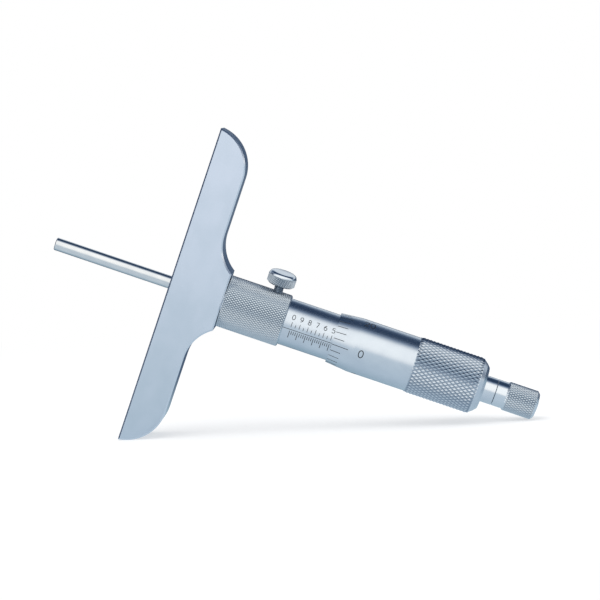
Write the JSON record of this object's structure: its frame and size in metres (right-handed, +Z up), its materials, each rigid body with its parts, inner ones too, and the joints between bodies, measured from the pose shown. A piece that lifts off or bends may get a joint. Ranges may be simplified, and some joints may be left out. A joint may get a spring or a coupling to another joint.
{
  "type": "depth micrometer",
  "caption": "Inch depth micrometer with a flat steel base, graduated sleeve and thimble, a slim measuring rod, a side clamp screw and a ratchet stop.",
  "frame": {"origin": "under the middle of the whole instrument, on the surface it rests on: it lies at rest on the base's lower round end and the ratchet knob's rim", "axes": "+X from the rod's tip towards the ratchet, along the surface; +Z up; the scale faces -Y. The head's axis leans 21.37 degrees below +X"},
  "size_m": [0.147, 0.0178, 0.0936],
  "materials": {
    "ground_steel": "fine satin grinding, blue-grey",
    "satin_chrome": "satin chrome plate with black filled graduations",
    "polished_steel": "hardened, ground and lapped bright",
    "knurled_chrome": "satin chrome over fine diamond knurl",
    "turned_steel": "plain turned, lightly oiled",
    "brass": "plain turned brass",
    "spring_wire": "drawn spring wire"
  },
  "bodies": {
    "frame": {"base": "ground_steel", "barrel": "turned_steel", "collar": "knurled_chrome", "sleeve": "satin_chrome", "adjusting_nut": "turned_steel"},
    "rod": {"measuring_rod": "polished_steel", "rod_nut": "turned_steel", "rod_lock_nut": "turned_steel"},
    "thimble": {"spindle": "polished_steel", "thimble": "satin_chrome", "thimble_nut": "turned_steel", "rod_cap": "satin_chrome", "clutch_ring": "turned_steel", "ratchet_spring": "spring_wire", "ratchet_washer": "turned_steel", "ratchet_screw": "turned_steel"},
    "ratchet": {"ratchet_knob": "knurled_chrome", "knob_cap": "satin_chrome"},
    "lock_pad": {"lock_pad": "brass"},
    "lock_screw": {"lock_screw": "knurled_chrome"}
  },
  "joints": [
    {"name": "rod_travel", "type": "slide", "parent": "frame", "child": "rod", "axis": [0.9312, 0, -0.3644], "range_m": [-0.01333, 0.01206]},
    {"name": "thimble_turn", "type": "hinge", "parent": "rod", "child": "thimble", "pos_m": [-0.03792, 0, 0.047], "axis": [0.9312, 0, -0.3644], "range_deg": [-7560.1, 6840.1]},
    {"name": "ratchet_spin", "type": "hinge", "parent": "thimble", "child": "ratchet", "pos_m": [0.05962, 0, 0.00883], "axis": [0.9312, 0, -0.3644], "continuous": true},
    {"name": "lock_travel", "type": "slide", "parent": "frame", "child": "lock_pad", "axis": [0.3599, -0.1564, 0.9198], "range_m": [-0.00014, 0.0005]},
    {"name": "lock_turn", "type": "hinge", "parent": "lock_pad", "child": "lock_screw", "pos_m": [-0.00822, 0, 0.03537], "axis": [0.3599, -0.1564, 0.9198], "range_deg": [-100.9, 360.1]}
  ],
  "couplings": [
    {"joint": "thimble_turn", "follows": "rod_travel", "rad_per_m": 9894.8},
    {"joint": "lock_turn", "follows": "lock_travel", "rad_per_m": 12566}
  ]
}
